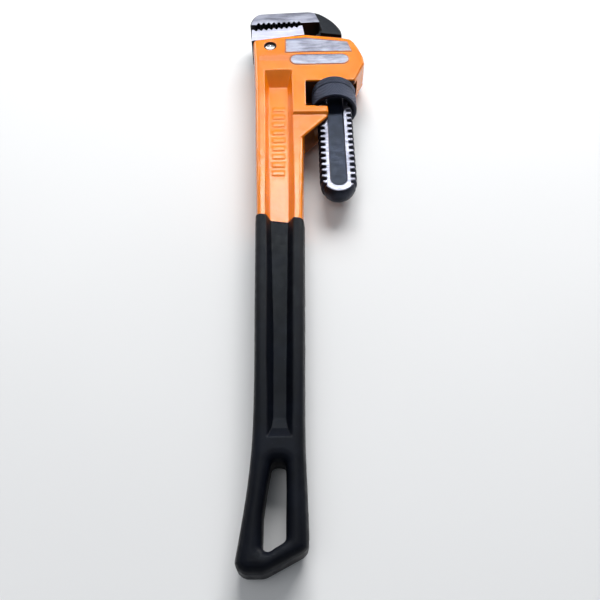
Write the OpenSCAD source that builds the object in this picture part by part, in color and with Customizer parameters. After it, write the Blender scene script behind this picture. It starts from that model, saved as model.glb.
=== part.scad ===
// Pipe wrench with a straight I-beam handle, drawn lying flat on its side.
// X runs across the handle, Y runs from the hang slot to the jaws, Z is up from the surface it lies on.

/* [Size] */
// Size of the whole wrench, 1 being the standard 18 inch (450 mm) size
wrench_scale = 1; // [0.9:0.01:1.1]

/* [Handle] */
// Half of the handle's thickness along the grip
handle_half_t = 9; // [8.4:0.1:9.4]
// Half of the head's thickness
head_half_t = 10.6; // [10:0.1:11]
// Half of the web's thickness between the two recesses
web_half_t = 3; // [2:0.1:4]
// How far the forged flanks bulge outward at mid-thickness
flank_bulge = 1; // [0.6:0.1:1.2]
// Radius of the bar's long edges
edge_r = 2.2; // [1.6:0.1:2.6]
// Radius of the edges around the hang slot, where the bar is almost round
end_edge_r = 4.2; // [3.6:0.1:4.4]
// Height of the ground pads above the side of the head
pad_rise = 0.6; // [0.3:0.1:0.9]
// Number of plain bars raised on the web's floor
web_bar_count = 9; // [5:1:9]

/* [Grip] */
// Thickness of the dipped coat on the grip
coat_t = 0.8; // [0.6:0.1:1]
// Height of the coat's upper edge on the handle's axis
coat_top_y = 200.6; // [180:0.2:215]
// Slope of the coat's upper edge, in degrees
coat_slope = 8.5; // [0:0.5:12]

/* [Jaws] */
// Distance between two teeth of a jaw
tooth_pitch = 3.7; // [3.4:0.1:4]
// Depth of the teeth
tooth_depth = 2; // [1.4:0.1:2.4]
// Number of teeth on the heel jaw
heel_teeth = 9; // [7:1:9]
// Number of teeth on the hook jaw
hook_teeth = 9; // [7:1:9]
// Half of the hook jaw's thickness at its head
hook_half_t = 8; // [7.4:0.1:8.4]
// Radius of the pin that holds the heel jaw
pin_r = 4; // [3.6:0.1:4.2]

/* [Thread] */
// Outer radius of the shank's thread
thread_r = 11.7; // [11.5:0.1:11.8]
// Depth of the shank's thread
thread_depth = 2.5; // [2.2:0.1:2.6]
// Lead of the single-start thread
thread_lead = 4.9; // [4.7:0.05:5]
// Half of the shank's thickness
shank_half_t = 5.7; // [5.4:0.1:5.8]
// Gap between the flanks of the nut's thread and of the shank's
thread_gap = 0.35; // [0.3:0.01:0.4]

/* [Nut] */
// Outer radius of the adjusting nut
nut_r = 15.3; // [14.6:0.1:15.3]
// Height of the adjusting nut
nut_h = 19; // [18:0.1:19.2]

/* [Hidden] */

$fn = 96;
tiny = 0.01;
beyond = 60;

// The drawing's own axes: X = 0 on the handle's axis, Y = 0 at its lowest end, Z = 0 mid-thickness.
extent_x = [-22, 58.7];
extent_y = [0, 398];
rest_height = nut_r;

shank_x = 36.7;
nut_mid_y = 307.5;
window_left_x = 17.4;
window_low_y = 293.5;
window_high_y = 318;
channel_x = [23.3, 52.6];
wall_top_y = 353;
neck_x = [25.8, 44.6];
neck_low_y = 331;
neck_high_y = 374;
channel_half_t = shank_half_t + 0.6;
ledge_end_x = 32;
ledge_low_y = 286.8;
gusset_half_t = handle_half_t - 0.1;

// Bare handle: height, left edge, right edge, half thickness and edge radius at each station.
STATIONS = [
    [-6, -20.9, 15, handle_half_t, end_edge_r], [6, -19.1, 13.2, handle_half_t, end_edge_r],
    [20, -17, 13.1, handle_half_t, end_edge_r], [40, -14.4, 12.7, handle_half_t, end_edge_r],
    [65, -12.6, 12.2, handle_half_t, edge_r + 0.8], [100, -12.4, 12.7, handle_half_t, edge_r],
    [150, -13.2, 13.5, handle_half_t, edge_r], [200, -13.9, 14.2, handle_half_t, edge_r],
    [235, -15, 15, handle_half_t, edge_r], [270, -16.1, 15.8, handle_half_t, edge_r],
    [290, -16.6, 16, handle_half_t + 0.2, edge_r], [310, -17.1, 16, head_half_t - 0.7, edge_r],
    [335, -18.1, 15, head_half_t, edge_r], [352, -19, 13, head_half_t, edge_r],
    [372, -20.6, 12, head_half_t, edge_r]];
station_steps = 4;
edge_angles = [0, 30, 60, 90];

HEAD = [[9, ledge_low_y], [window_left_x, ledge_low_y], [51.2, window_high_y], [58.7, 335.6], [58.3, 341.6],
        [55.3, 351.6], [52.6, 358], [50, 361.4], [44, 363.2], [18.2, 367.2], [-8, 362.5], [-8, 335]];
SEAT_LEFT = [-21, 360.7];
SEAT_RIGHT = [18.2, 367.2];
LEDGE = [[6, ledge_low_y], [ledge_end_x, ledge_low_y], [ledge_end_x, window_low_y], [6, window_low_y]];
GUSSET = [[6, 262], [13.4, 264.6], [ledge_end_x - 0.6, ledge_low_y - 2], [ledge_end_x - 0.6, window_low_y - 2],
          [6, window_low_y - 2]];
GROUND_PAD = [[4.3, 347.6], [50.2, 347.8], [47.5, 357.6], [18, 362.6], [4.3, 361.2]];
GROUND_BAR = [[7.7, 334.6], [47.5, 334.6], [47.5, 344.4], [7.7, 344.4]];

// Recess: height, lift of its floor, floor's left and right edge, and the same two edges at rim_z.
rim_z = 9;
RECESS = [
    [58, 9.5, -2.6, 3, -5.9, 6.6], [63, 5.6, -2.8, 3.2, -6.1, 6.8], [68, 2.4, -3, 3.5, -6.2, 7],
    [74, 0.6, -3.1, 3.7, -6.3, 7.2], [88, 0, -3.4, 4.2, -6.5, 7.5], [122, 0, -3.6, 4.6, -7.3, 7.7],
    [212, 0, -6.1, 5.6, -8.8, 9.1], [319.5, 0, -7.8, 5.3, -10.1, 7.7], [333, 10.2, -7.8, 5.3, -10.1, 7.7]];

SLOT = [[-4.2, 52.6], [-6.5, 39], [-8, 27], [-8.2, 6.6], [4.1, 14], [4.4, 38], [4.2, 52.6]];
slot_corner_r = 3.2;
END = [[-24, 80], [-17.2, 19], [-19.9, 0.8], [-6.5, 0.8], [13.3, 10.9], [14.4, 80]];
end_corner_r = 6;
web_bar = [7.4, 3.4, 0.8];
web_bar_pitch = 7.2;
web_bar_low_y = 240;

PIN_AT = [-6.9, 354.9];
pin_sink = 0.6;
// Domed end of the pin: share of its radius, and depth below the side of the head.
PIN_END = [[0, 0.5], [0.5, 0.62], [0.78, 0.95], [0.93, 1.4], [1, 2.1]];
TANG = [[-14.5, 346.5], [1.5, 346.5], [1.5, 372], [-14.5, 372]];
tang_half_t = 5;
tang_gap = 0.05;

HEEL_TOP_LEFT = [-20.4, 373.6];
HEEL_TOP_RIGHT = [16.2, 377.8];
HOOK_TEETH_LEFT = [-18.3, 382.2];
HOOK_TEETH_RIGHT = [28.7, 384.6];
HOOK_BACK = [[44.6, 369.4], [43.9, 376], [41.4, 382], [37.7, 387.5], [32.8, 392.6], [27.4, 396.2], [20, 398],
             [7.8, 396.6], [-12, 396.2], [-17.6, 394.4], [-20.8, 389.6], [-22, 383.4], [-20.6, 382.2]];
HOOK_THROAT = [[30.4, 374.6], [29.2, 372]];
HOOK_NECK = [[neck_x[0], 366], [neck_x[1], 366], [neck_x[1], 369.4], [43.9, 376], [41.4, 382], [33, 386],
             [29, 378]];
hook_ease = 1.6;

pocket_y = 337;
pocket_r = 3.6;
spring_r = 2.7;
spring_wire_r = 0.5;
spring_turns = 6;
spring_x = [12.8, 24.1];

shank_end_y = 221.2;
first_groove_y = 230.2;
groove_count = 20;
groove_root_w = 2;
groove_mouth_w = 3;
helix_tilt = atan(thread_lead / (2 * PI * thread_r));
root_r = thread_r - thread_depth;

leaf_t = 0.8;
leaf_half_w = 4.5;
leaf_x = 48.8;
leaf_bow = 0.8;
leaf_y = [321, 350];

// Smooth curve through the stations, as a Catmull-Rom spline.
function spline(a, b, c, d, t) = 0.5 * ((2 * b) + (c - a) * t + (2 * a - 5 * b + 4 * c - d) * t * t
                                        + (3 * b - a - 3 * c + d) * t * t * t);
function smooth(rows, steps) = let (n = len(rows)) [
    for (i = [0 : n - 2]) for (s = [0 : steps - 1])
        spline(rows[max(i - 1, 0)], rows[i], rows[i + 1], rows[min(i + 2, n - 1)], s / steps),
    rows[n - 1]];

// Outline moved outward by d, corner by corner; its points run anticlockwise.
function unit(v) = v / norm(v);
function outward(a, b) = let (u = unit(b - a)) [u[1], -u[0]];
function grow(pts, d) = let (n = len(pts)) [
    for (i = [0 : n - 1])
        let (p = outward(pts[(i + n - 1) % n], pts[i]), q = outward(pts[i], pts[(i + 1) % n]))
        pts[i] + d * (p + q) / (1 + p * q)];

// Outline with every corner rounded to radius r, or to what its sides leave room for.
corner_steps = 6;
function rounded(pts, r) = let (n = len(pts)) [
    for (i = [0 : n - 1])
        let (b = pts[i], u = unit(pts[(i + n - 1) % n] - b), v = unit(pts[(i + 1) % n] - b),
             room = min(norm(pts[(i + n - 1) % n] - b), norm(pts[(i + 1) % n] - b)) * 0.48,
             half = acos(max(-1, min(1, u * v))) / 2, reach = min(r / tan(half), room),
             rr = reach * tan(half), centre = b + unit(u + v) * rr / sin(half),
             from = b + u * reach - centre, to = b + v * reach - centre)
        for (s = [0 : corner_steps]) let (w = s / corner_steps, m = from * (1 - w) + to * w)
            centre + unit(m) * rr];

// Moves the drawing to the part's own frame: the middle of its box, with its lowest point at Z = 0.
module placed() {
    scale(wrench_scale)
        translate([-(extent_x[0] + extent_x[1]) / 2, -(extent_y[0] + extent_y[1]) / 2, rest_height])
            children();
}

module slab(pts, half_t) {
    translate([0, 0, -half_t]) linear_extrude(2 * half_t) polygon(pts);
}

// A slab with its edges chamfered.
module eased_slab(pts, half_t, ease) {
    hull() {
        slab(pts, half_t - ease);
        slab(grow(pts, -ease), half_t);
    }
}

// Rounded edges: for each layer from one side of the bar to the other, its height and how far it is tucked in.
function edge_layers(half_t, r) = concat(
    [for (i = [len(edge_angles) - 1 : -1 : 0]) let (a = edge_angles[i])
        [-(half_t - r + r * sin(a)), r * (1 - cos(a))]],
    [[0, 0]],
    [for (a = edge_angles) [half_t - r + r * sin(a), r * (1 - cos(a))]]);

// The handle's bar without its recesses, grown on every side by coat.
module bar(coat) {
    loft([for (row = smooth(STATIONS, station_steps))
        let (half_t = row[3] + coat, layers = edge_layers(half_t, row[4] + coat), n = len(layers),
             tucks = [for (layer = layers) layer[1] + flank_bulge * pow(layer[0] / half_t, 2)])
        concat(
            [for (k = [0 : n - 1]) [row[1] - coat + tucks[k], row[0], layers[k][0]]],
            [for (k = [n - 1 : -1 : 0]) [row[2] + coat - tucks[k], row[0], layers[k][0]]])]);
}

// An outline through the whole thickness, whose edges are rounded on the side where the metal is:
// inside the outline where way is 1, outside it where way is -1.
module soft_slab(pts, corner_r, coat, way) {
    layers = edge_layers(handle_half_t + coat, end_edge_r + coat);
    last = len(layers) - 1;
    spread = concat([[-beyond, layers[0][1]]], layers, [[beyond, layers[last][1]]]);
    loft([for (layer = spread) let (d = way * (coat - layer[1]))
        [for (p = rounded(grow(pts, d), corner_r + d)) [p[0], p[1], layer[0]]]]);
}

// Closed solid lofted through rings of points that all have the same count.
module loft(rings) {
    n = len(rings[0]);
    last = (len(rings) - 1) * n;
    sides = [for (i = [0 : len(rings) - 2]) for (k = [0 : n - 1])
        [i * n + k, (i + 1) * n + k, (i + 1) * n + (k + 1) % n, i * n + (k + 1) % n]];
    polyhedron([for (ring = rings) each ring],
               concat(sides, [[for (k = [0 : n - 1]) k], [for (k = [n - 1 : -1 : 0]) last + k]]));
}

// The recess on the upper side, made smaller on every side by coat.
module recess(coat) {
    top_z = head_half_t + 3;
    loft([for (row = RECESS)
        let (floor_z = web_half_t + row[1] + coat, slope = 1 / (rim_z - web_half_t),
             left = (row[4] - row[2]) * slope, right = (row[5] - row[3]) * slope,
             low = floor_z - web_half_t, high = top_z - web_half_t)
        [[row[2] + coat + left * high, row[0], top_z], [row[3] - coat + right * high, row[0], top_z],
         [row[3] - coat + right * low, row[0], floor_z], [row[2] + coat + left * low, row[0], floor_z]]]);
}

module recesses(coat) {
    recess(coat);
    mirror([0, 0, 1]) recess(coat);
}

// The bar with its slanted end and its hang slot.
module slotted_bar(coat) {
    difference() {
        intersection() {
            bar(coat);
            union() {
                soft_slab(END, end_corner_r, coat, 1);
                translate([-beyond, 75, -beyond]) cube([2 * beyond, 400, 2 * beyond]);
            }
        }
        soft_slab(SLOT, slot_corner_r, coat, -1);
    }
}

// Everything above the slanted line of the heel jaw's seat.
module above_seat() {
    slab([SEAT_LEFT - [10, 1.7], SEAT_RIGHT, SEAT_RIGHT + [0, 30], SEAT_LEFT + [-10, 40]], beyond);
}

module head_solid() {
    eased_slab(HEAD, head_half_t, 0.9);
    eased_slab(LEDGE, head_half_t, 0.9);
    eased_slab(GUSSET, gusset_half_t, 0.8);
    slab(GROUND_PAD, head_half_t + pad_rise);
    slab(rounded(GROUND_BAR, 4.4), head_half_t + pad_rise);
}

module shank_channel() {
    translate([channel_x[0], window_high_y - 1, -channel_half_t])
        cube([channel_x[1] - channel_x[0], 80, 2 * channel_half_t]);
    translate([shank_x, wall_top_y, -channel_half_t]) cube([40, 40, 2 * channel_half_t]);
    translate([shank_x - 14.5, 240, -channel_half_t])
        cube([40, 60, 2 * channel_half_t]);
}

module handle() {
    color("darkorange") placed() {
        difference() {
            union() {
                slotted_bar(0);
                head_solid();
            }
            recesses(0);
            above_seat();
            slab([[window_left_x, window_low_y], [70, window_low_y], [70, window_high_y],
                  [window_left_x, window_high_y]], beyond);
            shank_channel();
            slab(TANG, tang_half_t + tang_gap);
            translate([PIN_AT[0], PIN_AT[1], -beyond]) cylinder(r = pin_r + tang_gap, h = 2 * beyond);
            for (side = [0, 1]) mirror([0, 0, side])
                translate([PIN_AT[0], PIN_AT[1], head_half_t - pin_sink])
                    cylinder(r1 = pin_r + tang_gap, r2 = pin_r + tang_gap + pin_sink, h = pin_sink + tiny);
            translate([spring_x[0] - 0.2, pocket_y, 0]) rotate([0, 90, 0]) cylinder(r = pocket_r, h = 12);
        }
        for (side = [-1, 1]) for (i = [0 : web_bar_count - 1])
            translate([-0.9, web_bar_low_y + i * web_bar_pitch, side * (web_half_t + 0.1)])
                cube(web_bar, center = true);
    }
}

// A thin skin all over the bar's lower part. resize() with no new size keeps it as one mesh.
module grip_coat() {
    color("#26282b") placed() resize([0, 0, 0])
        difference() {
            intersection() {
                slotted_bar(coat_t);
                translate([0, coat_top_y, 0]) rotate([0, 0, -coat_slope])
                    translate([-beyond, -400, -beyond]) cube([2 * beyond, 400, 2 * beyond]);
            }
            recesses(coat_t);
            difference() {
                slotted_bar(0);
                recesses(0);
            }
        }
}

// Row of teeth cut along the line from a to b; up is the side they point to.
module teeth(a, b, count, up, half_t) {
    translate([a[0], a[1], 0]) rotate([0, 0, atan2(b[1] - a[1], b[0] - a[0])])
        for (i = [0 : count - 1])
            slab([[i * tooth_pitch + tooth_pitch * 0.25, up * tiny],
                  [i * tooth_pitch + tooth_pitch * 0.62, -up * tooth_depth],
                  [i * tooth_pitch + tooth_pitch * 0.78, -up * tooth_depth],
                  [i * tooth_pitch + tooth_pitch * 1.13, up * tiny]], half_t);
}

module heel_jaw() {
    color("gainsboro") placed()
        difference() {
            union() {
                difference() {
                    slab([SEAT_LEFT + [0.7, 0.16], SEAT_RIGHT + [-0.6, -0.06], HEEL_TOP_RIGHT, HEEL_TOP_LEFT],
                         head_half_t - 0.2);
                    teeth(HEEL_TOP_LEFT + [0.5, 0.06], HEEL_TOP_RIGHT, heel_teeth, 1, beyond);
                }
                slab(grow(TANG, -tang_gap), tang_half_t);
            }
            translate([PIN_AT[0], PIN_AT[1], -beyond]) cylinder(r = pin_r + tang_gap, h = 2 * beyond);
        }
}

module heel_jaw_pin() {
    color("silver") placed()
        translate([PIN_AT[0], PIN_AT[1], 0])
            rotate_extrude() polygon(concat(
                [for (end = PIN_END) [pin_r * end[0], end[1] - head_half_t]],
                [for (i = [len(PIN_END) - 1 : -1 : 0]) [pin_r * PIN_END[i][0], head_half_t - PIN_END[i][1]]]));
}

// Round wire swept along a helix about the X axis.
module coil_spring() {
    sides = 6;
    per_turn = 16;
    count = spring_turns * per_turn;
    run = spring_x[1] - spring_x[0] - 2 * spring_wire_r;
    points = [for (i = [0 : count]) let (a = 360 * i / per_turn) for (k = [0 : sides - 1])
        let (s = 360 * k / sides, r = spring_r + spring_wire_r * cos(s))
        [spring_x[0] + spring_wire_r * (1 + sin(s)) + run * i / count, pocket_y + r * cos(a), r * sin(a)]];
    faces = [for (i = [0 : count - 1]) for (k = [0 : sides - 1])
        [i * sides + k, i * sides + (k + 1) % sides, (i + 1) * sides + (k + 1) % sides, (i + 1) * sides + k]];
    color("slategray") placed()
        polyhedron(points, concat(faces, [[for (k = [sides - 1 : -1 : 0]) k],
                                          [for (k = [0 : sides - 1]) count * sides + k]]));
}

// Bowed leaf that presses the shank away from the channel's outer wall.
module flat_spring() {
    steps = 12;
    line = [for (i = [0 : steps]) let (t = i / steps)
        [leaf_x + leaf_bow * pow(2 * t - 1, 2), leaf_y[0] + t * (leaf_y[1] - leaf_y[0])]];
    back = [for (i = [steps : -1 : 0]) line[i] + [leaf_t, 0]];
    color("slategray") placed() slab(concat(line, back), leaf_half_w);
}

// Ridge of the nut's inner thread, as a solid swept along a right-hand helix about the Y axis.
module inner_thread() {
    per_turn = 24;
    inner_r = root_r + thread_gap;
    outer_r = thread_r + thread_gap + 0.6;
    ridge_tip = groove_root_w / 2 - thread_gap;
    ridge_foot = groove_mouth_w / 2 - thread_gap + 0.15;
    start_y = nut_mid_y - nut_h / 2 + ridge_foot + 0.2;
    start_turn = (start_y - first_groove_y) / thread_lead;
    count = floor((nut_h - 2 * ridge_foot - 0.4) / thread_lead * per_turn);
    section = [[inner_r, -ridge_tip], [outer_r, -ridge_foot], [outer_r, ridge_foot], [inner_r, ridge_tip]];
    points = [for (i = [0 : count]) let (a = 90 + 360 * (start_turn + i / per_turn)) for (s = section)
        [s[0] * sin(a), start_y + thread_lead * i / per_turn + s[1], s[0] * cos(a)]];
    faces = [for (i = [0 : count - 1]) for (k = [0 : 3])
        [i * 4 + k, i * 4 + (k + 1) % 4, (i + 1) * 4 + (k + 1) % 4, (i + 1) * 4 + k]];
    translate([shank_x, 0, 0])
        polyhedron(points, concat(faces, [[3, 2, 1, 0], [for (k = [0 : 3]) count * 4 + k]]));
}

module adjusting_nut() {
    half = nut_h / 2;
    collar_low = half - 6.6;
    bore_r = thread_r + thread_gap;
    color("#3a3f47") placed() {
        translate([shank_x, nut_mid_y, 0]) rotate([-90, 0, 0])
            rotate_extrude() polygon([
                [bore_r + 1.2, -half], [nut_r - 1, -half], [nut_r, -half + 1], [nut_r, collar_low - 1],
                [nut_r - 0.6, collar_low - 0.6], [nut_r - 0.6, collar_low], [nut_r - 0.1, collar_low + 0.4],
                [nut_r - 0.1, half - 1], [nut_r - 1.1, half], [bore_r + 1.2, half], [bore_r, half - 1.2],
                [bore_r, -half + 1.2]]);
        inner_thread();
    }
}

// Groove of the shank's thread on one side: a tilted part ring about the Y axis.
module groove(y, side) {
    sweep = 84;
    translate([shank_x, y, 0]) rotate([side * helix_tilt, 0, 0]) rotate([-90, 0, 0])
        rotate([0, 0, (side > 0 ? 0 : 180) - sweep / 2])
            rotate_extrude(angle = sweep)
                polygon([[root_r, -groove_root_w / 2], [thread_r + 1, -groove_mouth_w / 2 - 0.2],
                         [thread_r + 1, groove_mouth_w / 2 + 0.2], [root_r, groove_root_w / 2]]);
}

module shank() {
    dome_steps = 8;
    dome_h = 13;
    panel_half_w = 5.3;
    panel_low_y = 227.6;
    panel_high_y = 330;
    panel_depth = 1;
    difference() {
        intersection() {
            translate([shank_x, 0, 0]) rotate([-90, 0, 0])
                rotate_extrude() polygon(concat(
                    [for (i = [0 : dome_steps]) let (a = 90 * i / dome_steps)
                        [thread_r * sin(a), shank_end_y + dome_h * (1 - cos(a))]],
                    [[thread_r, neck_high_y], [0, neck_high_y]]));
            slab([[0, 200], [70, 200], [70, neck_low_y - 3], [neck_x[1], neck_low_y], [neck_x[1], neck_high_y],
                  [neck_x[0], neck_high_y], [neck_x[0], neck_low_y], [0, neck_low_y - 3]], shank_half_t);
        }
        for (i = [0 : groove_count - 1]) {
            groove(first_groove_y + i * thread_lead, 1);
            groove(first_groove_y + (i - 0.5) * thread_lead, -1);
        }
        for (side = [-1, 1]) translate([shank_x, 0, side * (shank_half_t + 1)])
            slab(rounded([[-panel_half_w, panel_low_y], [panel_half_w, panel_low_y],
                          [panel_half_w, panel_high_y], [-panel_half_w, panel_high_y]],
                         panel_half_w), 1 + panel_depth);
    }
}

module hook_jaw() {
    back = smooth(HOOK_BACK, station_steps);
    outline = concat([HOOK_THROAT[1]], back, [HOOK_TEETH_LEFT, HOOK_TEETH_RIGHT, HOOK_THROAT[0]]);
    color("#33363c") placed() {
        difference() {
            union() {
                intersection() {
                    slab(outline, hook_half_t);
                    eased_slab(concat(back, [[-22, 378], [20, 360], [48, 368]]), hook_half_t, hook_ease);
                }
                slab(HOOK_NECK, shank_half_t);
            }
            teeth(HOOK_TEETH_LEFT + [0, 0.1], HOOK_TEETH_RIGHT, hook_teeth, -1, beyond);
        }
        shank();
    }
}

handle();
grip_coat();
heel_jaw();
heel_jaw_pin();
coil_spring();
flat_spring();
adjusting_nut();
hook_jaw();
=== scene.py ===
"""Looks of the pipe wrench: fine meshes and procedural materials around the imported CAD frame."""

import math

import bmesh
import bpy
from mathutils import Matrix, Vector


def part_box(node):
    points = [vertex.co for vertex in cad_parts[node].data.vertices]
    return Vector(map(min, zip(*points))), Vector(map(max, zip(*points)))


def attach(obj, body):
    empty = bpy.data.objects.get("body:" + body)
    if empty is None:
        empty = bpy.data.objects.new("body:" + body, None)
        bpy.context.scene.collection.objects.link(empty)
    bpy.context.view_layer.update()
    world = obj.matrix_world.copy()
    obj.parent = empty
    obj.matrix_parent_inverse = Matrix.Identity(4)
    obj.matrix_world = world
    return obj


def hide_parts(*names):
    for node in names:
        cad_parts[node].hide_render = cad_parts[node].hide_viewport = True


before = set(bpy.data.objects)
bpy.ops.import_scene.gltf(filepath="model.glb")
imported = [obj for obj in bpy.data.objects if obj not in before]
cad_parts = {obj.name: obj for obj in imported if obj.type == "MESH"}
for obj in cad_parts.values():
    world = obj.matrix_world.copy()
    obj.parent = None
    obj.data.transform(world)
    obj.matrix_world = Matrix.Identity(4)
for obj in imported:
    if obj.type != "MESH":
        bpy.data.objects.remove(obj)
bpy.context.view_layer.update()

MM = 0.001
TAU = 2 * math.pi
scene = bpy.context.scene

# The design's own axes, found from the frame: the nut gives the shank's axis and the mid-plane,
# the grip's coat gives the lowest end of the handle.
nut_low, nut_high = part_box("adjusting_nut")
grip_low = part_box("grip_coat")[0]
SHANK_X = (nut_low.x + nut_high.x) / 2
MID_Z = (nut_low.z + nut_high.z) / 2
SHANK_TO_HANDLE = 36.7
HANDLE_X = SHANK_X - SHANK_TO_HANDLE * MM
END_Y = grip_low.y

# Lines of the design that the looks follow, in millimetres from the handle's axis and its lowest end.
WINDOW_X = (17.4, 51.2)
WINDOW_Y = (293.5, 318.0)
GUSSET_X = (16.2, 33.0)
GUSSET_Y = (262.0, 293.5)
COAT_TOP_Y = 200.6
COAT_SLOPE = 8.5
COAT_T = 0.78
HOOK_TEETH = ((-18.3, 382.2), (28.7, 384.6))
HOOK_SILVER_END = ((28.7, 385.0), (25.8, 394.0))
SHANK_BORDER_Y = 330
THROAT_Y = (345, 386)
# Where the darkening of the hook's side faces sets in.
SIDE_DARK_Y = (355, 360)
FIRST_GROOVE_Y = 230.2
THREAD_LEAD = 4.9
THREAD_TIP_R = 9.55
THREAD_TIP_HALF_W = 0.65
THREAD_FLANK = 4.77
NUT_BORE_R = 12.05
NUT_COLLAR_H = 6.6

# The pin's end from its middle outward: share of the pin's radius, and depth in millimetres.
PIN_DOME = [(0, 0.10), (0.10, 0.10), (0.18, 0.04), (0.30, 0.01), (0.45, 0.06), (0.6, 0.16), (0.74, 0.34),
            (0.86, 0.62), (0.94, 0.95), (0.985, 1.35), (1.0, 1.8)]


def at(x, y, z=0.0):
    """Point in the row frame for millimetres from the handle's axis, its lowest end and the mid-plane."""
    return Vector((HANDLE_X + x * MM, END_Y + y * MM, MID_Z + z * MM))


# ---------------------------------------------------------------- meshes

def evaluated(obj):
    """The object's mesh with its modifiers applied."""
    graph = bpy.context.evaluated_depsgraph_get()
    return bpy.data.meshes.new_from_object(obj.evaluated_get(graph))


def smooth_shaded(obj):
    obj.data.polygons.foreach_set("use_smooth", [True] * len(obj.data.polygons))
    return obj


def new_object(name, mesh):
    obj = bpy.data.objects.new(name, mesh)
    scene.collection.objects.link(obj)
    return smooth_shaded(obj)


def with_modifier(obj, kind, **settings):
    """Adds a modifier and applies it at once."""
    modifier = obj.modifiers.new(kind.lower(), kind)
    for key, value in settings.items():
        setattr(modifier, key, value)
    mesh = evaluated(obj)
    obj.modifiers.clear()
    old = obj.data
    obj.data = mesh
    bpy.data.meshes.remove(old)


def forged(name, node, voxel, soften, faces):
    """A copy of a CAD node with every edge rounded as on a casting: remeshed, softened and thinned out."""
    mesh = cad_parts[node].data.copy()
    bm = bmesh.new()
    bm.from_mesh(mesh)
    bmesh.ops.remove_doubles(bm, verts=bm.verts, dist=1e-6)
    bm.to_mesh(mesh)
    bm.free()
    obj = new_object(name, mesh)
    with_modifier(obj, "REMESH", mode="VOXEL", voxel_size=voxel, use_smooth_shade=True)
    with_modifier(obj, "SMOOTH", factor=0.5, iterations=soften)
    share = faces / (2 * len(obj.data.polygons))
    if share < 1:
        with_modifier(obj, "DECIMATE", ratio=share)
    return smooth_shaded(obj)


def turned(name, rings, steps, centre, axis):
    """Closed solid of rings stacked along an axis; each ring is (distance along, radius as a number or
    as a function of the angle). The first and the last ring may have radius 0; otherwise the stack closes
    on itself, as a nut does round its bore."""
    bm = bmesh.new()
    loops = []
    for along, radius in rings:
        if radius == 0:
            loops.append([bm.verts.new((0, 0, along))])
            continue
        angles = [TAU * i / steps for i in range(steps)]
        radii = [radius(a) if callable(radius) else radius for a in angles]
        corners = [(r * math.cos(a), r * math.sin(a), along) for a, r in zip(angles, radii)]
        loops.append([bm.verts.new(corner) for corner in corners])
    if len(loops[0]) > 1:
        loops.append(loops[0])
    for low, high in zip(loops, loops[1:]):
        for i in range(steps):
            j = (i + 1) % steps
            corners = [low[i % len(low)], low[j % len(low)], high[j % len(high)], high[i % len(high)]]
            bm.faces.new(list(dict.fromkeys(corners)))
    bmesh.ops.recalc_face_normals(bm, faces=bm.faces)
    mesh = bpy.data.meshes.new(name)
    bm.to_mesh(mesh)
    bm.free()
    turn = Vector((0, 0, 1)).rotation_difference(Vector(axis)).to_matrix().to_4x4()
    mesh.transform(Matrix.Translation(centre) @ turn)
    return new_object(name, mesh)


def finish_piece(obj, body, material, node):
    obj.data.name = obj.name
    obj.data.materials.clear()
    obj.data.materials.append(material)
    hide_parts(node)
    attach(obj, body)


# ---------------------------------------------------------------- shader helpers

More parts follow.
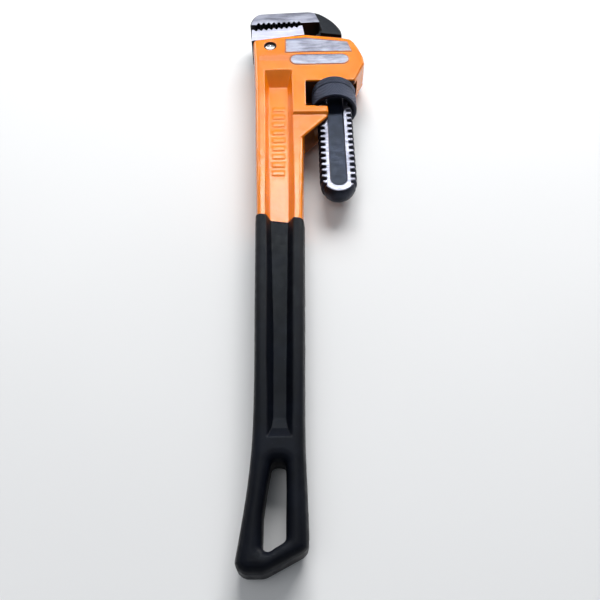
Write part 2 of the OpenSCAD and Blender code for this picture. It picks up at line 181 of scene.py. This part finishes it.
class Look:
    """A procedural material in the object's own coordinates, in metres."""

    def __init__(self, name):
        self.material = bpy.data.materials.new(name)
        self.material.use_nodes = True
        self.tree = self.material.node_tree
        self.shader = self.tree.nodes["Principled BSDF"]
        self.place = self.tree.nodes.new("ShaderNodeTexCoord").outputs["Object"]
        self.x, self.y, self.z = self.node("ShaderNodeSeparateXYZ", {0: self.place}).outputs
        self.side = self.math("ABSOLUTE", self.math("SUBTRACT", self.z, MID_Z))

    def node(self, kind, inputs=None, **settings):
        made = self.tree.nodes.new(kind)
        for key, value in settings.items():
            setattr(made, key, value)
        for key, value in (inputs or {}).items():
            self.put(made.inputs[key], value)
        return made

    def put(self, socket, value):
        if isinstance(value, bpy.types.NodeSocket):
            self.tree.links.new(value, socket)
        else:
            socket.default_value = value

    def math(self, operation, a, b=0.0):
        return self.node("ShaderNodeMath", {0: a, 1: b}, operation=operation).outputs[0]

    def noise(self, scale, detail=2.0, roughness=0.5, stretch=(1, 1, 1), turn=0.0):
        """Noise whose cells are 1/scale metres across, drawn out along an axis where stretch is under 1."""
        mapping = {0: self.place, "Rotation": (0, 0, turn), "Scale": stretch}
        vector = self.node("ShaderNodeMapping", mapping).outputs[0]
        values = {"Vector": vector, "Scale": scale, "Detail": detail, "Roughness": roughness}
        return self.node("ShaderNodeTexNoise", values).outputs[0]

    def ramp(self, value, low, high, start=0.0, end=1.0):
        """value carried from the range low..high to start..end, smoothly and held at its ends."""
        values = {"Value": value, "From Min": low, "From Max": high, "To Min": start, "To Max": end}
        return self.node("ShaderNodeMapRange", values, interpolation_type="SMOOTHSTEP").outputs[0]

    def both(self, *masks):
        result = masks[0]
        for mask in masks[1:]:
            result = self.math("MULTIPLY", result, mask)
        return result

    def either(self, a, b):
        return self.math("MAXIMUM", a, b)

    def within(self, value, low, high, soft):
        """1 between low and high, falling to 0 over soft outside them."""
        return self.both(self.ramp(value, low - soft, low), self.ramp(value, high + soft, high))

    def blend(self, share, a, b):
        """Number between a and b."""
        return self.math("ADD", a, self.math("MULTIPLY", share, self.math("SUBTRACT", b, a)))

    def mix(self, share, a, b):
        """Colour between a and b."""
        made = self.node("ShaderNodeMix", data_type="RGBA")
        self.put(made.inputs["Factor"], share)
        self.put(made.inputs["A"], (*a, 1) if isinstance(a, tuple) else a)
        self.put(made.inputs["B"], (*b, 1) if isinstance(b, tuple) else b)
        return made.outputs["Result"]

    def bump(self, height, depth, normal=None):
        values = {"Height": height, "Strength": 1.0, "Distance": depth * MM}
        if normal is not None:
            values["Normal"] = normal
        return self.node("ShaderNodeBump", values).outputs[0]

    def right_of(self, low, high, soft):
        """1 right of the line through two design points, 0 left of it."""
        low, high = at(*low), at(*high)
        slope = (high.x - low.x) / (high.y - low.y)
        line = self.math("MULTIPLY_ADD", self.math("SUBTRACT", self.y, low.y), slope)
        line.node.inputs[2].default_value = low.x
        return self.ramp(self.math("SUBTRACT", self.x, line), -soft, soft)

    def above(self, left, right, soft):
        """1 above the line through two design points, 0 below it."""
        left, right = at(*left), at(*right)
        slope = (right.y - left.y) / (right.x - left.x)
        line = self.math("MULTIPLY_ADD", self.math("SUBTRACT", self.x, left.x), slope)
        line.node.inputs[2].default_value = left.y
        return self.ramp(self.math("SUBTRACT", self.y, line), -soft, soft)

    def finish(self, colour, roughness, normal, metallic=0.0, specular=0.5):
        self.put(self.shader.inputs["Base Color"], colour)
        self.put(self.shader.inputs["Roughness"], roughness)
        self.put(self.shader.inputs["Normal"], normal)
        self.put(self.shader.inputs["Metallic"], metallic)
        self.shader.inputs["Specular IOR Level"].default_value = specular
        return self.material


# ---------------------------------------------------------------- materials

ORANGE = (0.88, 0.236, 0.002)
ORANGE_DEEP = (0.78, 0.186, 0.001)
# Dark brown for random specks in the paint, and for painted shade in its hollows and round the pads.
SPECK_AND_SHADE_BROWN = (0.030, 0.012, 0.006)
STEEL = (0.48, 0.465, 0.55)
STEEL_DARK = (0.14, 0.135, 0.17)
STEEL_BRIGHT = (0.72, 0.69, 0.83)
STEEL_DULL = (0.45, 0.43, 0.52)
OXIDE = (0.007, 0.010, 0.020)
OXIDE_LIGHT = (0.018, 0.023, 0.046)
WORN_OXIDE = (0.17, 0.19, 0.28)
# Near-black for painted shade in the hook's throat, and for darkening its side faces.
NEAR_BLACK = (0.004, 0.004, 0.005)


def grinding(look, turn):
    """Fine parallel grinding scratches with coarser ones across them, from 0 to 1."""
    fine = look.noise(2600, 3, 0.6, (0.03, 1, 1), turn)
    coarse = look.noise(420, 3, 0.6, (0.1, 1, 1), turn + 0.25)
    return look.blend(0.4, fine, coarse)


def near_pin(look):
    """1 inside the pin's hole in the head, 0 outside it."""
    pin_low, pin_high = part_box("heel_jaw_pin")
    pin = (pin_low + pin_high) / 2
    across = look.math("POWER", look.math("SUBTRACT", look.x, pin.x), 2.0)
    along = look.math("POWER", look.math("SUBTRACT", look.y, pin.y), 2.0)
    distance = look.math("SQRT", look.math("ADD", across, along))
    return look.both(look.ramp(distance, 4.9 * MM, 4.5 * MM), look.ramp(look.side, 10.5 * MM, 10.2 * MM))


def painted_shade_places(look, pad):
    """Where shade is painted on the enamel, as darkening towards brown-black: in the nut's window, the
    gusset's web, the pin's hole and round the ground pads, whose height over the mid-plane is pad."""
    # Painted shade: the pads' side walls, the inside of the window, the gusset's web and the pin's hole are
    # darkened where shade falls.
    pad_wall = look.within(look.side, pad - 0.52 * MM, pad - 0.30 * MM, 0.06 * MM)
    in_window = look.both(look.within(look.x, at(WINDOW_X[0], 0).x, at(WINDOW_X[1], 0).x, 0.4 * MM),
                          look.within(look.y, at(0, WINDOW_Y[0]).y, at(0, WINDOW_Y[1]).y, 0.4 * MM),
                          look.ramp(look.side, 9.9 * MM, 9.2 * MM))
    on_gusset_web = look.both(look.within(look.x, at(GUSSET_X[0], 0).x, at(GUSSET_X[1], 0).x, 0.3 * MM),
                              look.within(look.y, at(0, GUSSET_Y[0]).y, at(0, GUSSET_Y[1]).y, 0.8 * MM),
                              look.ramp(look.side, 8.5 * MM, 7.4 * MM))
    painted_shade = look.either(look.math("MULTIPLY", in_window, 0.96), look.math("MULTIPLY", on_gusset_web, 0.8))
    return look.either(painted_shade, look.either(near_pin(look), look.both(pad_wall, 0.55)))


def enamel_look():
    """Glossy orange enamel over a forging: ground through to steel on the pads, painted shade in the
    hollows.
    """
    look = Look("enamel_orange")
    handle_low, handle_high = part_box("handle")
    pad = (handle_high.z - handle_low.z) / 2
    ragged_edge = look.ramp(look.noise(900, 3, 0.6), 0.2, 0.8, -0.06 * MM, 0.06 * MM)
    ragged_side = look.math("ADD", look.side, ragged_edge)
    bare = look.ramp(ragged_side, pad - 0.24 * MM, pad - 0.14 * MM)
    # Painted shade in the hollows and round the pads; the paint there is also rougher.
    painted_shade = painted_shade_places(look, pad)
    cloudy = look.noise(38, 4, 0.55)
    specks = look.ramp(look.noise(1900, 2, 0.5), 0.66, 0.76, 0.0, 0.22)
    paint = look.mix(look.ramp(cloudy, 0.3, 0.7), ORANGE_DEEP, ORANGE)
    # Random dark specks and the painted shade both pull the paint towards one dark brown.
    paint = look.mix(look.either(specks, painted_shade), paint, SPECK_AND_SHADE_BROWN)
    marks = grinding(look, 0.12)
    stain = look.ramp(look.noise(150, 4, 0.6, (0.5, 1, 1), 0.4), 0.35, 0.65)
    steel = look.mix(look.blend(0.5, look.ramp(marks, 0.36, 0.64), stain), STEEL_DARK, STEEL)
    paint_rough = look.ramp(look.noise(90, 4, 0.6), 0.3, 0.7, 0.13, 0.22)
    steel_rough = look.ramp(marks, 0.3, 0.7, 0.34, 0.52)
    rough = look.blend(bare, look.blend(painted_shade, paint_rough, 0.7), steel_rough)
    normal = look.bump(look.noise(120, 3, 0.5), 0.12)
    normal = look.bump(look.noise(520, 3, 0.6), 0.11, normal)
    normal = look.bump(look.both(marks, bare), 0.07, normal)
    return look.finish(look.mix(bare, paint, steel), rough, normal, bare, specular=0.44)


def vinyl_look():
    """Satin black dipped vinyl with a faint pebble, long soft runs, fine dust and a few pale specks."""
    look = Look("vinyl_black")
    dust = look.ramp(look.noise(60, 5, 0.65), 0.35, 0.75)
    specks = look.ramp(look.noise(1300, 1, 0.5), 0.78, 0.82, 0.0, 0.4)
    colour = look.mix(dust, (0.0012, 0.0019, 0.0044), (0.0026, 0.0040, 0.0088))
    colour = look.mix(specks, colour, (0.09, 0.09, 0.11))
    normal = look.bump(look.noise(45, 2, 0.4, (1, 0.35, 1)), 0.30)
    normal = look.bump(look.noise(1100, 3, 0.6), 0.05, normal)
    rough = look.ramp(look.noise(220, 4, 0.6), 0.3, 0.7, 0.40, 0.54)
    return look.finish(colour, rough, normal, specular=0.16)


def oxide_look(name, grain_depth, bright=None, steels=(STEEL_DARK, STEEL), worn=None, darkening=None):
    """Black oxide on steel. Each of bright, worn and the last argument is a function of the look that gives
    where it is ground to bare metal, where its tips are rubbed paler and where it is darkened towards
    near-black (on the hook, painted shade in the throat)."""
    look = Look(name)
    dark = look.mix(look.ramp(look.noise(70, 4, 0.6), 0.3, 0.75), OXIDE, OXIDE_LIGHT)
    if worn is not None:
        dark = look.mix(worn(look), dark, WORN_OXIDE)
    # Darkening towards near-black; on the hook this is painted shade in the throat.
    if darkening is not None:
        dark = look.mix(darkening(look), dark, NEAR_BLACK)
    normal = look.bump(look.noise(700, 4, 0.6), grain_depth)
    rough = look.ramp(look.noise(260, 4, 0.6), 0.3, 0.7, 0.32, 0.46)
    if bright is None:
        return look.finish(dark, rough, normal, 0.6)
    shine = bright(look)
    marks = grinding(look, 0.05)
    stain = look.ramp(look.noise(170, 4, 0.6, (0.4, 1, 1), 0.2), 0.35, 0.65)
    steel = look.mix(look.blend(0.45, look.ramp(marks, 0.36, 0.64), stain), *steels)
    normal = look.bump(look.both(marks, shine), 0.04, normal)
    rough = look.blend(shine, rough, look.ramp(marks, 0.3, 0.7, 0.30, 0.46))
    return look.finish(look.mix(shine, dark, steel), rough, normal, look.ramp(shine, 0, 1, 0.6, 1.0))


def hook_bright(look):
    """Ground flats of the hook's sides, above the teeth and left of a slanted line, and the border round
    the shank's panel."""
    hook_side = look.both(look.ramp(look.side, 7.62 * MM, 7.78 * MM),
                          look.above(*HOOK_TEETH, 0.25 * MM),
                          look.math("SUBTRACT", 1.0, look.right_of(*HOOK_SILVER_END, 0.2 * MM)))
    shank_side = look.both(look.within(look.side, 5.5 * MM, 5.9 * MM, 0.12 * MM),
                           look.ramp(look.y, at(0, SHANK_BORDER_Y + 1).y, at(0, SHANK_BORDER_Y - 1).y))
    return look.either(hook_side, shank_side)


def hook_shade_and_dark_sides(look):
    """Painted shade in near-black on the teeth, the throat and the neck, between the hook's side faces; and
    less fully, the side faces darkened towards the same near-black.
    """
    # Painted shade on the teeth, throat and neck, which lie in shadow between the side faces.
    between = look.both(look.ramp(look.side, 7.75 * MM, 7.45 * MM),
                        look.within(look.y, at(0, THROAT_Y[0]).y, at(0, THROAT_Y[1]).y, 2 * MM))
    # The side faces darkened towards the same near-black.
    sides = look.both(look.ramp(look.side, 6.0 * MM, 6.4 * MM),
                      look.ramp(look.y, at(0, SIDE_DARK_Y[0]).y, at(0, SIDE_DARK_Y[1]).y))
    return look.either(between, look.math("MULTIPLY", sides, 0.8))


def nut_worn(look):
    """The knurl's tips, rubbed unevenly."""
    across = look.math("POWER", look.math("SUBTRACT", look.x, SHANK_X), 2.0)
    through = look.math("POWER", look.math("SUBTRACT", look.z, MID_Z), 2.0)
    radius = look.math("SQRT", look.math("ADD", across, through))
    tips = look.ramp(radius, 14.98 * MM, 15.25 * MM)
    return look.both(tips, look.ramp(look.noise(160, 3, 0.6), 0.25, 0.6, 0.5, 1.0))


def heel_bright(look):
    """Ground sides of the heel jaw, not its teeth."""
    return look.ramp(look.side, 10.05 * MM, 10.2 * MM)


def pin_look():
    look = Look("pin_steel")
    rings = look.noise(1800, 3, 0.6)
    stain = look.ramp(look.noise(420, 3, 0.6), 0.5, 0.66)
    colour = look.mix(stain, (0.78, 0.77, 0.78), (0.22, 0.18, 0.16))
    return look.finish(colour, look.ramp(rings, 0.3, 0.7, 0.14, 0.26), look.bump(rings, 0.015), 1.0)


# ---------------------------------------------------------------- pieces

def raise_parting_line(obj):
    """Lifts the trace of the forging's parting line along the two outer flanks of the handle."""
    height, half_width, reach = 0.16 * MM, 0.55 * MM, 19 * MM
    low_y = at(0, 16).y
    count = len(obj.data.vertices)
    places = [0.0] * (3 * count)
    normals = [0.0] * (3 * count)
    obj.data.vertices.foreach_get("co", places)
    obj.data.vertex_normals.foreach_get("vector", normals)
    for i in range(0, 3 * count, 3):
        off = places[i] - HANDLE_X
        outward = normals[i] * math.copysign(1, off)
        if outward > 0.8 and abs(off) < reach and places[i + 1] > low_y:
            fade = math.exp(-((places[i + 2] - MID_Z) / half_width) ** 2)
            places[i] += math.copysign(height, off) * fade
    obj.data.vertices.foreach_set("co", places)


def make_handle():
    obj = forged("handle_forging", "handle", voxel=0.45 * MM, soften=4, faces=195000)
    raise_parting_line(obj)
    finish_piece(obj, "handle", enamel_look(), "handle")
    return obj


def make_grip(handle):
    """The handle's own surface below the coat's slanted edge, thickened outward into a skin."""
    obj = new_object("grip_dipped_coat", handle.data.copy())
    slope = math.radians(COAT_SLOPE)
    normal = Vector((math.sin(slope), math.cos(slope), 0))
    bm = bmesh.new()
    bm.from_mesh(obj.data)
    whole = bm.verts[:] + bm.edges[:] + bm.faces[:]
    bmesh.ops.bisect_plane(bm, geom=whole, dist=1e-7, plane_co=at(0, COAT_TOP_Y), plane_no=normal,
                           clear_outer=True)
    bm.to_mesh(obj.data)
    bm.free()
    with_modifier(obj, "SOLIDIFY", thickness=COAT_T * MM, offset=1.0, use_rim=True,
                  use_quality_normals=True)
    smooth_shaded(obj)
    finish_piece(obj, "handle", vinyl_look(), "grip_coat")


def make_hook():
    # The hook's look paints shade into its throat in near-black.
    look = oxide_look("oxide_jaw", 0.05, hook_bright, darkening=hook_shade_and_dark_sides)
    obj = forged("hook_jaw_forging", "hook_jaw", voxel=0.34 * MM, soften=2, faces=190000)
    finish_piece(obj, "hook", look, "hook_jaw")


def make_heel():
    obj = forged("heel_jaw_block", "heel_jaw", voxel=0.28 * MM, soften=2, faces=90000)
    look = oxide_look("steel_heel", 0.05, heel_bright, (STEEL_DULL, STEEL_BRIGHT))
    finish_piece(obj, "handle", look, "heel_jaw")


def make_pin():
    """Pin with a domed, slightly dimpled end on each side."""
    low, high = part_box("heel_jaw_pin")
    r, half = (high.x - low.x) / 2, (high.z - low.z) / 2
    lower = [(depth * MM - half, share * r) for share, depth in PIN_DOME]
    upper = [(half - depth * MM, share * r) for share, depth in reversed(PIN_DOME)]
    obj = turned("heel_jaw_pin_turned", lower + upper, 72, (low + high) / 2, (0, 0, 1))
    finish_piece(obj, "handle", pin_look(), "heel_jaw_pin")


def knurled(radius, along, knurls=63, depth=0.48 * MM, flat=0.35):
    """Radius round a diamond-knurled band at a height along it; flat is the share left on the tips."""
    lead = along * knurls / (TAU * radius)

    def at_angle(angle):
        a = angle * knurls / TAU
        groove = 2 * max(abs((a + lead) % 1 - 0.5), abs((a - lead) % 1 - 0.5))
        return radius - depth * max(0.0, groove - flat) / (1 - flat)

    return at_angle


def threaded(bore, along, half):
    """Radius round the nut's bore at a height along it, with the ridge that runs in the shank's grooves."""
    nut_y = ((nut_low.y + nut_high.y) / 2 - END_Y) / MM
    run_out = 1.5 * MM
    ends = max(0.0, min(1.0, (half - abs(along)) / run_out))

    def at_angle(angle):
        # The angle runs from +X towards -Z, the way a right-hand thread climbs along +Y.
        turns = (nut_y + along / MM - FIRST_GROOVE_Y) / THREAD_LEAD - angle / TAU
        off = abs((turns + 0.5) % 1 - 0.5) * THREAD_LEAD
        ridge = (THREAD_TIP_R + max(0.0, off - THREAD_TIP_HALF_W) * THREAD_FLANK) * MM
        return bore - max(0.0, bore - ridge) * ends

    return at_angle


def make_nut():
    """Turned nut: a knurled band, a groove and a knurled collar outside, the thread's ridge inside."""
    half = (nut_high.y - nut_low.y) / 2
    r = (nut_high.x - nut_low.x) / 2
    bore = NUT_BORE_R * MM
    collar = half - NUT_COLLAR_H * MM
    bevel = 1.2 * MM
    row = 0.17 * MM
    steps = 504

    def band(low, high, radius, shape):
        """Rings one row apart from low to high."""
        count = round((high - low) / row)
        heights = [low + (high - low) * i / count for i in range(count + 1)]
        return [(height, shape(radius, height)) for height in heights]

    def profile(base, points):
        """Plain rings, given in millimetres above base and below the nut's outer radius."""
        return [(base + up * MM, r - depth * MM) for up, depth in points]

    rings = [(-half, bore + bevel)]
    rings += profile(-half, [(0, 1.1), (0.25, 0.5), (0.7, 0.15)])
    rings += band(-half + 1.0 * MM, collar - 0.9 * MM, r, knurled)
    rings += profile(collar, [(-0.65, 0.3), (-0.55, 0.85), (0, 0.85), (0.15, 0.35)])
    rings += band(collar + 0.4 * MM, half - bevel, r - 0.08 * MM, knurled)
    rings += profile(half, [(-0.8, 0.35), (-0.3, 0.7), (0, 1.3)])
    rings += [(half, bore + bevel)]
    inner = band(-half + bevel, half - bevel, bore, lambda radius, height: threaded(radius, height, half))
    rings += list(reversed(inner[::2]))
    obj = turned("adjusting_nut_knurled", rings, steps, (nut_low + nut_high) / 2, (0, 1, 0))
    look = oxide_look("oxide_nut", 0.015, worn=nut_worn)
    finish_piece(obj, "nut", look, "adjusting_nut")


def make_flat_spring(steel):
    leaf = forged("flat_spring_leaf", "flat_spring", voxel=0.14 * MM, soften=2, faces=60000)
    finish_piece(leaf, "rocker", steel, "flat_spring")


def make_coil_spring(steel):
    """Round wire wound along X between the ends of the CAD spring's box."""
    low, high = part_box("coil_spring")
    coils, wire, per_turn = 6, 0.5 * MM, 40
    radius = (high.y - low.y) / 2 - wire
    curve = bpy.data.curves.new("coil_spring_wire", "CURVE")
    curve.dimensions = "3D"
    curve.bevel_depth = wire
    curve.bevel_resolution = 4
    curve.use_fill_caps = True
    path = curve.splines.new("POLY")
    count = coils * per_turn
    path.points.add(count)
    centre = (low + high) / 2
    for i, point in enumerate(path.points):
        angle = TAU * i / per_turn
        x = low.x + wire + (high.x - low.x - 2 * wire) * i / count
        point.co = (x, centre.y + radius * math.cos(angle), centre.z + radius * math.sin(angle), 1)
    wire_object = bpy.data.objects.new("coil_spring_wire", curve)
    scene.collection.objects.link(wire_object)
    coil = new_object("coil_spring_wound", evaluated(wire_object))
    bpy.data.objects.remove(wire_object)
    finish_piece(coil, "handle", steel, "coil_spring")


# ---------------------------------------------------------------- stage, light and camera

LAMP = (1.0, 0.97, 0.94)


def make_stage():
    """Pale floor, tilted so that it meets both the nut and the handle's end, as the wrench lies on them."""
    nut_line = Vector((0, (nut_low.y + nut_high.y) / 2, nut_low.z))
    end_line = Vector((0, grip_low.y, grip_low.z))
    slope = math.atan2(end_line.z - nut_line.z, end_line.y - nut_line.y)
    reach = 6.0
    mesh = bpy.data.meshes.new("floor")
    corners = [(-reach, -reach, 0), (reach, -reach, 0), (reach, reach, 0), (-reach, reach, 0)]
    mesh.from_pydata(corners, [], [(0, 1, 2, 3)])
    floor = bpy.data.objects.new("floor", mesh)
    scene.collection.objects.link(floor)
    floor.matrix_world = Matrix.Translation(nut_line) @ Matrix.Rotation(slope, 4, "X")
    look = Look("floor_pale")
    shade = look.mix(look.ramp(look.noise(3, 2), 0.3, 0.7), (0.74, 0.74, 0.74), (0.77, 0.77, 0.77))
    mesh.materials.append(look.finish(shade, 0.9, look.bump(look.noise(400, 2), 0.02)))


def area_light(name, place, size, radiance, colour=(1, 1, 1), diffuse=True, glossy=True):
    """Rectangular light aimed at the wrench; it can be left out of diffuse or of glossy light."""
    data = bpy.data.lights.new(name, "AREA")
    data.shape = "RECTANGLE"
    data.size, data.size_y = size
    data.energy = radiance * math.pi * size[0] * size[1]
    data.color = colour
    obj = bpy.data.objects.new(name, data)
    obj.location = place
    obj.rotation_euler = (-Vector(place)).to_track_quat("-Z", "Y").to_euler()
    obj.visible_diffuse = diffuse
    obj.visible_glossy = glossy
    scene.collection.objects.link(obj)


def make_light():
    """Broad light from beyond the jaws. The gloss mirrors other lights instead: a dim panel on the flats, a
    bright strip on the lower end of the enamel, and three lamps that only the rounded edges catch."""
    world = bpy.data.worlds.new("studio")
    scene.world = world
    world.use_nodes = True
    background = world.node_tree.nodes["Background"]
    background.inputs["Color"].default_value = (0.86, 0.93, 1.02, 1)
    background.inputs["Strength"].default_value = 0.22
    area_light("key", (0.2, 1.05, 0.82), (1.0, 0.7), 13, glossy=False)
    area_light("fill", (-0.5, -0.3, 1.2), (0.9, 0.9), 1.4, glossy=False)
    area_light("panel", (0.1, 0.95, 0.92), (1.5, 0.6), 0.34, (0.86, 0.95, 1.10), diffuse=False)
    area_light("strip", (0.0, 0.875, 1.02), (1.2, 0.14), 17, (0.92, 1.0, 1.0), diffuse=False)
    area_light("right_edges", (0.85, 1.1, 0.42), (0.4, 0.4), 16, LAMP, diffuse=False)
    area_light("left_edges", (-0.85, 1.1, 0.42), (0.4, 0.4), 8, LAMP, diffuse=False)
    area_light("near_edges", (0.0, -0.05, 1.4), (0.9, 0.35), 2.0, LAMP, diffuse=False)


def make_camera():
    """A 42 mm lens over the handle's end, tipped 33 degrees from a square-on view of the side."""
    data = bpy.data.cameras.new("camera")
    data.lens = 42
    data.sensor_width = 36
    data.clip_start = 0.01
    camera = bpy.data.objects.new("camera", data)
    scene.collection.objects.link(camera)
    eye, target = at(11.4, -65, 330.5), at(11.4, 147.2, 0)
    turn = (target - eye).to_track_quat("-Z", "Y").to_matrix().to_4x4()
    camera.matrix_world = Matrix.Translation(eye) @ turn @ Matrix.Rotation(math.radians(-0.9), 4, "Z")
    scene.camera = camera


make_camera()
make_stage()
make_light()
make_grip(make_handle())
make_hook()
make_heel()
make_pin()
make_nut()
spring_steel = oxide_look("spring_blue", 0.01)
make_flat_spring(spring_steel)
make_coil_spring(spring_steel)
scene.view_settings.view_transform = "Standard"
